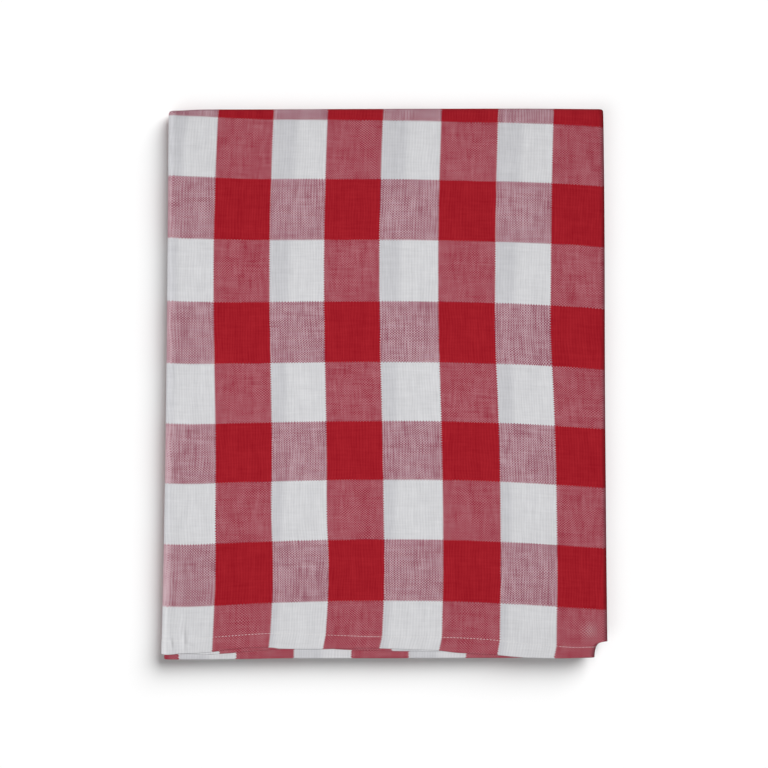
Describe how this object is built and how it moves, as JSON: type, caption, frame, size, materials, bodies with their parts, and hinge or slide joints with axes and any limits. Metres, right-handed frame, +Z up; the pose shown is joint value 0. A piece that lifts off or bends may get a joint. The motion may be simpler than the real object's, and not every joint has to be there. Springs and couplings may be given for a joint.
{
  "type": "folded tablecloth",
  "caption": "Checked cotton tablecloth with a narrow sewn hem, folded lengthwise and then crosswise into a flat rectangular pile that lies on a shelf or table.",
  "frame": {"origin": "middle of the folded pile's outline, on the surface it rests on", "axes": "+X across the folded width, away from the spine fold; +Y along the folded length, from the hems to the back folds; +Z up"},
  "size_m": [0.4054, 0.5004, 0.0218],
  "materials": {
    "checked_cotton": "matte plain weave of dyed yarns in a red and white check"
  },
  "bodies": {
    "root": {"tablecloth": "checked_cotton"}
  },
  "joints": []
}
